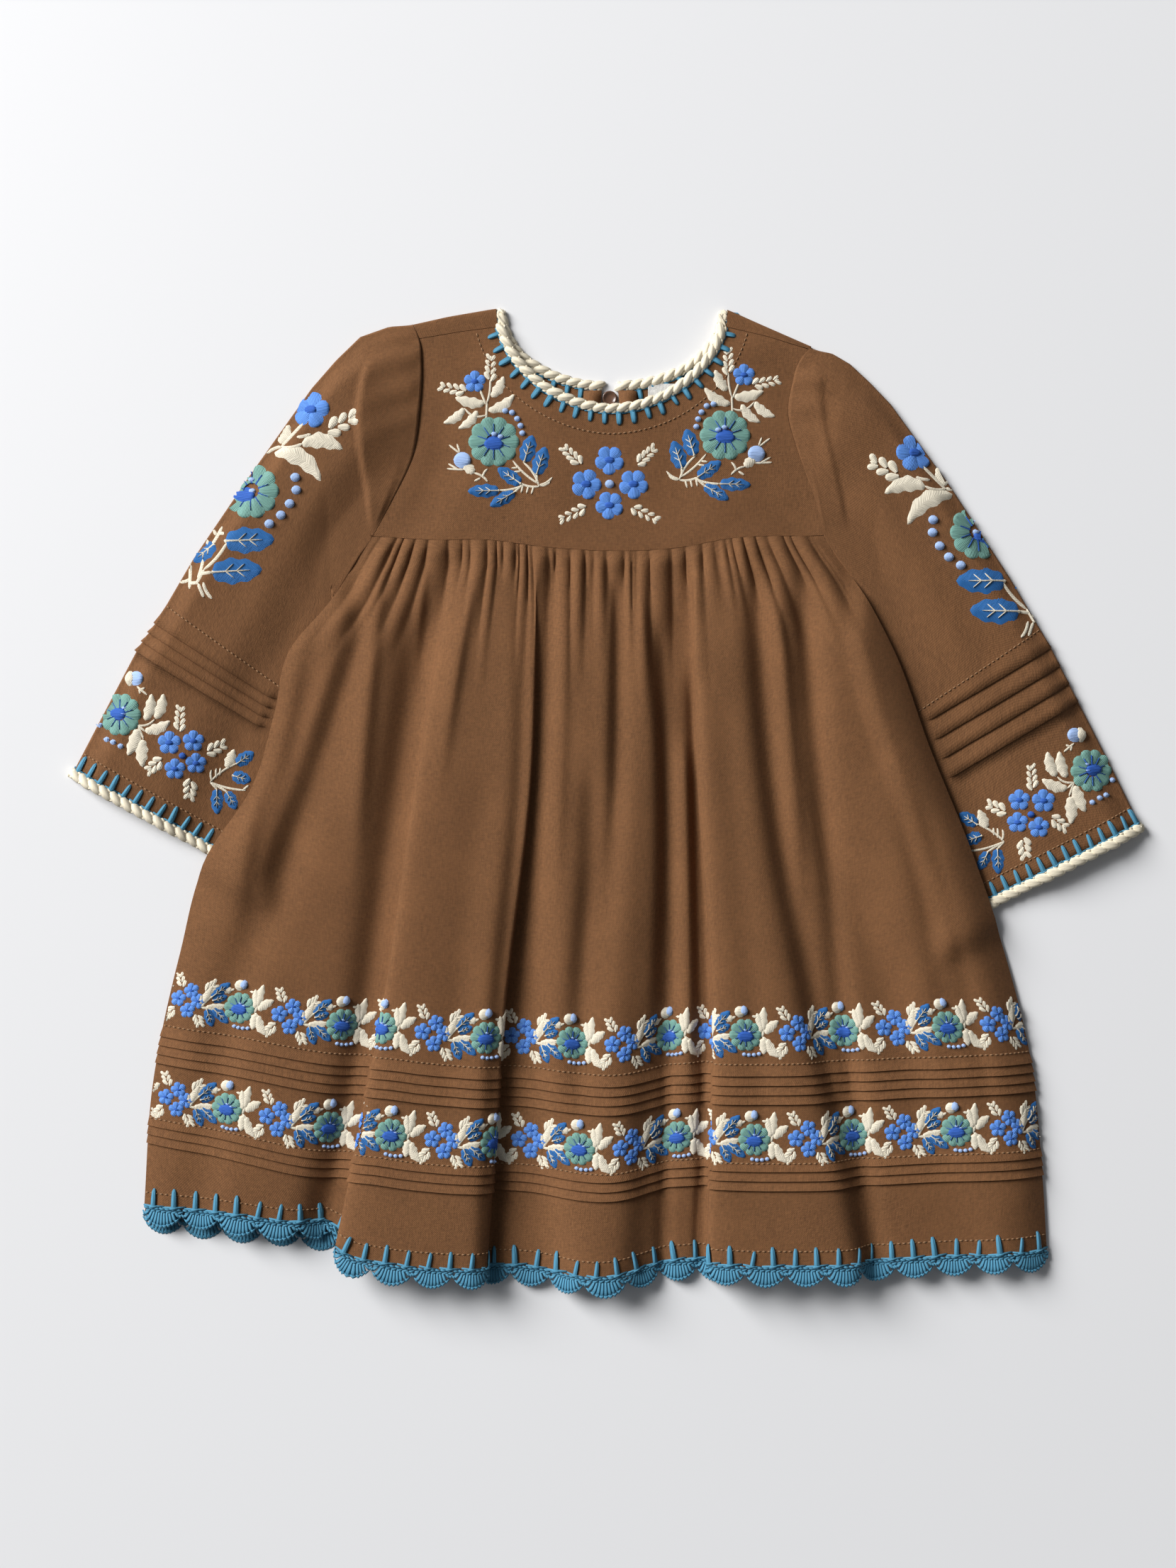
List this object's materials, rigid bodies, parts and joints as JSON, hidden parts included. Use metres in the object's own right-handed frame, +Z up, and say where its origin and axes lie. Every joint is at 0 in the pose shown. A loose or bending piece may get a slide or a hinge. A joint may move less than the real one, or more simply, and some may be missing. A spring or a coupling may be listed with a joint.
{
  "type": "long sleeve dress",
  "caption": "Toddler's brown woven dress laid flat, with a gathered skirt, pin tucks, a round neck, long sleeves and crochet edging at neck, cuffs and hem.",
  "frame": {"origin": "centre of the laid dress on the surface it lies on", "axes": "+X to the right of the laid dress, +Y towards the neck, +Z up from the surface, towards the front of the dress"},
  "size_m": [0.6068, 0.5544, 0.0184],
  "materials": {
    "brown_cloth": "plain woven cotton and linen, matt",
    "cream_crochet": "cotton crochet braid",
    "blue_crochet": "cotton crochet edging",
    "pale_label": "smooth woven tape",
    "brown_button": "smooth"
  },
  "bodies": {
    "root": {"front_yoke": "brown_cloth", "back_yoke_left": "brown_cloth", "back_yoke_right": "brown_cloth", "front_skirt": "brown_cloth", "back_skirt": "brown_cloth", "sleeve_left": "brown_cloth", "sleeve_right": "brown_cloth", "keyhole_facing_left": "brown_cloth", "keyhole_facing_right": "brown_cloth", "neck_trim_front": "cream_crochet", "neck_trim_back_left": "cream_crochet", "neck_trim_back_right": "cream_crochet", "cuff_trim_left": "cream_crochet", "cuff_trim_right": "cream_crochet", "hem_trim_front": "blue_crochet", "hem_trim_back": "blue_crochet", "neck_label": "pale_label", "button": "brown_button"}
  },
  "joints": []
}
